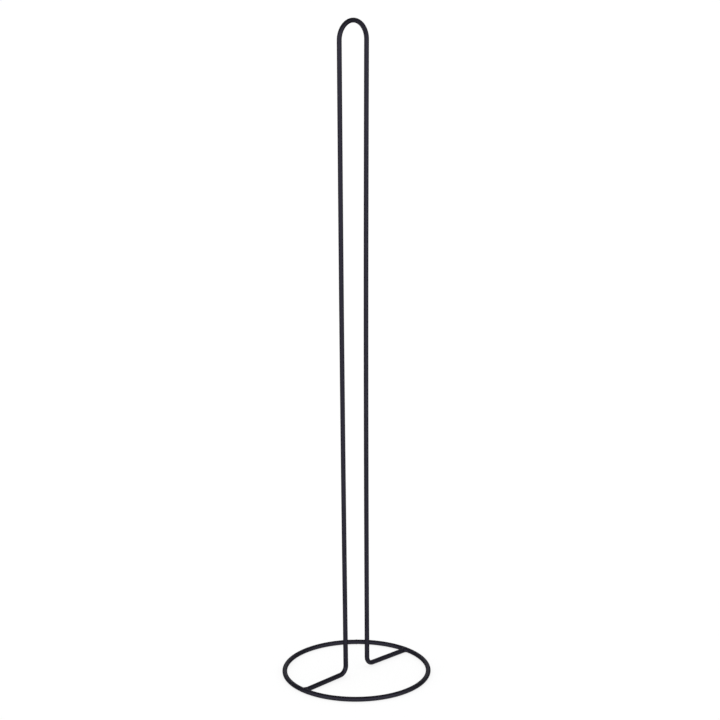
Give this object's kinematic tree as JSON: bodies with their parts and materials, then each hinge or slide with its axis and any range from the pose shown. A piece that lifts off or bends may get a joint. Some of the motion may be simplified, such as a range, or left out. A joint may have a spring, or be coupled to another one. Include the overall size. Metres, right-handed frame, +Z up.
{
  "type": "paper towel holder",
  "caption": "Free-standing wire holder for paper rolls: a flat round wire ring with a tall, narrow hairpin upright that a roll's core slides over, and feet welded across the ring.",
  "frame": {"origin": "centre of the base ring, on the surface that the ring lies on", "axes": "+Z up, along the upright; the hairpin and its feet lie in the XZ plane, and the left foot runs along -X"},
  "size_m": [0.138, 0.138, 0.6],
  "materials": {
    "coated_wire": "satin black powder coat on steel wire, very slightly blue",
    "coated_weld": "the same satin black powder coat, thicker over the weld beads"
  },
  "bodies": {
    "root": {"base_ring": "coated_wire", "ring_seam_weld": "coated_weld", "upright_wire": "coated_wire", "left_foot_weld": "coated_weld", "right_foot_weld": "coated_weld"}
  },
  "joints": []
}
